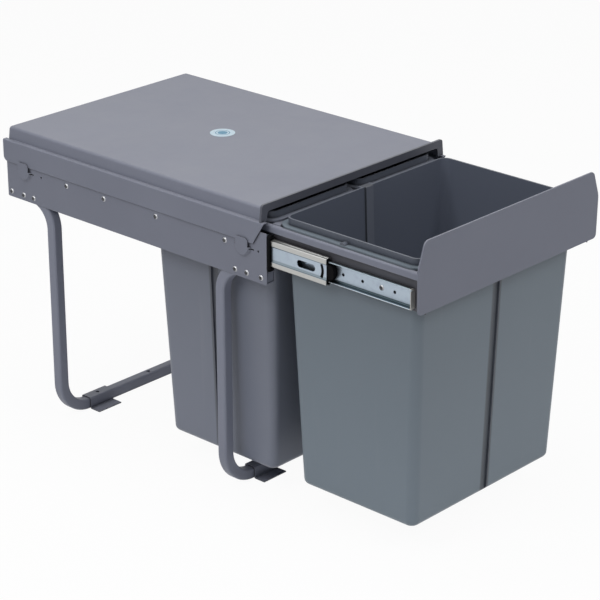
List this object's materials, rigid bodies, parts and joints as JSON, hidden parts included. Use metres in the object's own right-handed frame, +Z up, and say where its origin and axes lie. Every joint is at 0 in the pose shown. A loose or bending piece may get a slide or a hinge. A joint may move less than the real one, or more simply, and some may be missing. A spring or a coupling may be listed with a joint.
{
  "type": "pull out bin frame",
  "caption": "Lidded steel cabinet frame on two bent tube legs, whose three-section ball bearing slides carry a pull-out drawer frame with a front panel and deep tapered bins",
  "frame": {"origin": "on the floor plane, in the middle of the rectangle of four floor screw holes, midway between the two legs", "axes": "X to the right seen from the pull-out side, Y to the rear so that the drawer pulls out along -Y, Z up"},
  "size_m": [0.345, 0.714, 0.4202],
  "materials": {
    "painted_steel": "fine-grained silver grey powder coat",
    "zinc_steel": "blue-white zinc plate",
    "cage_steel": "thin bright strip",
    "ball_steel": "polished and greased",
    "rivet_steel": "bright plated",
    "bin_plastic": "satin dark grey moulded polypropylene",
    "black_plastic": "matt black",
    "label": "plain pale sticker without print"
  },
  "bodies": {
    "frame": {"lid": "painted_steel", "lid_label": "label", "left_side_panel": "painted_steel", "right_side_panel": "painted_steel", "rear_leg": "painted_steel", "front_leg": "painted_steel", "rear_left_foot_clip": "painted_steel", "rear_right_foot_clip": "painted_steel", "front_left_foot_clip": "painted_steel", "front_right_foot_clip": "painted_steel", "left_leg_rivets": "rivet_steel", "right_leg_rivets": "rivet_steel", "left_slide_rivets": "rivet_steel", "right_slide_rivets": "rivet_steel", "left_outer_slide": "zinc_steel", "right_outer_slide": "zinc_steel", "lid_edge_strip": "painted_steel", "left_slide_end_cap": "black_plastic", "right_slide_end_cap": "black_plastic"},
    "drawer": {"left_inner_slide": "zinc_steel", "right_inner_slide": "zinc_steel", "left_drawer_rivets": "rivet_steel", "right_drawer_rivets": "rivet_steel", "left_rail": "painted_steel", "right_rail": "painted_steel", "front_bar": "painted_steel", "middle_bar": "painted_steel", "rear_bar": "painted_steel", "bin_divider": "painted_steel", "front_panel": "painted_steel", "front_panel_nuts": "rivet_steel", "front_bin": "bin_plastic", "rear_left_bin": "bin_plastic", "rear_right_bin": "bin_plastic"},
    "left_middle": {"left_middle_slide": "zinc_steel", "left_slide_bumper": "black_plastic"},
    "right_middle": {"right_middle_slide": "zinc_steel", "right_slide_bumper": "black_plastic"},
    "left_outer_ball_row": {"left_outer_ball_cage": "cage_steel", "left_outer_balls": "ball_steel"},
    "right_outer_ball_row": {"right_outer_ball_cage": "cage_steel", "right_outer_balls": "ball_steel"},
    "left_inner_ball_row": {"left_inner_ball_cage": "cage_steel", "left_inner_balls": "ball_steel"},
    "right_inner_ball_row": {"right_inner_ball_cage": "cage_steel", "right_inner_balls": "ball_steel"}
  },
  "joints": [
    {"name": "drawer_slide", "type": "slide", "parent": "frame", "child": "drawer", "axis": [0, -1, 0], "range_m": [-0.2315, 0.2185]},
    {"name": "left_middle_travel", "type": "slide", "parent": "frame", "child": "left_middle", "axis": [0, -1, 0], "range_m": [-0.11575, 0.10925]},
    {"name": "right_middle_travel", "type": "slide", "parent": "frame", "child": "right_middle", "axis": [0, -1, 0], "range_m": [-0.11575, 0.10925]},
    {"name": "left_outer_balls_travel", "type": "slide", "parent": "frame", "child": "left_outer_ball_row", "axis": [0, -1, 0], "range_m": [-0.05788, 0.05462]},
    {"name": "right_outer_balls_travel", "type": "slide", "parent": "frame", "child": "right_outer_ball_row", "axis": [0, -1, 0], "range_m": [-0.05788, 0.05462]},
    {"name": "left_inner_balls_travel", "type": "slide", "parent": "frame", "child": "left_inner_ball_row", "axis": [0, -1, 0], "range_m": [-0.17363, 0.16387]},
    {"name": "right_inner_balls_travel", "type": "slide", "parent": "frame", "child": "right_inner_ball_row", "axis": [0, -1, 0], "range_m": [-0.17363, 0.16387]}
  ],
  "couplings": [
    {"joint": "left_middle_travel", "follows": "drawer_slide", "ratio": 0.5},
    {"joint": "right_middle_travel", "follows": "drawer_slide", "ratio": 0.5},
    {"joint": "left_outer_balls_travel", "follows": "drawer_slide", "ratio": 0.25},
    {"joint": "right_outer_balls_travel", "follows": "drawer_slide", "ratio": 0.25},
    {"joint": "left_inner_balls_travel", "follows": "drawer_slide", "ratio": 0.75},
    {"joint": "right_inner_balls_travel", "follows": "drawer_slide", "ratio": 0.75}
  ]
}
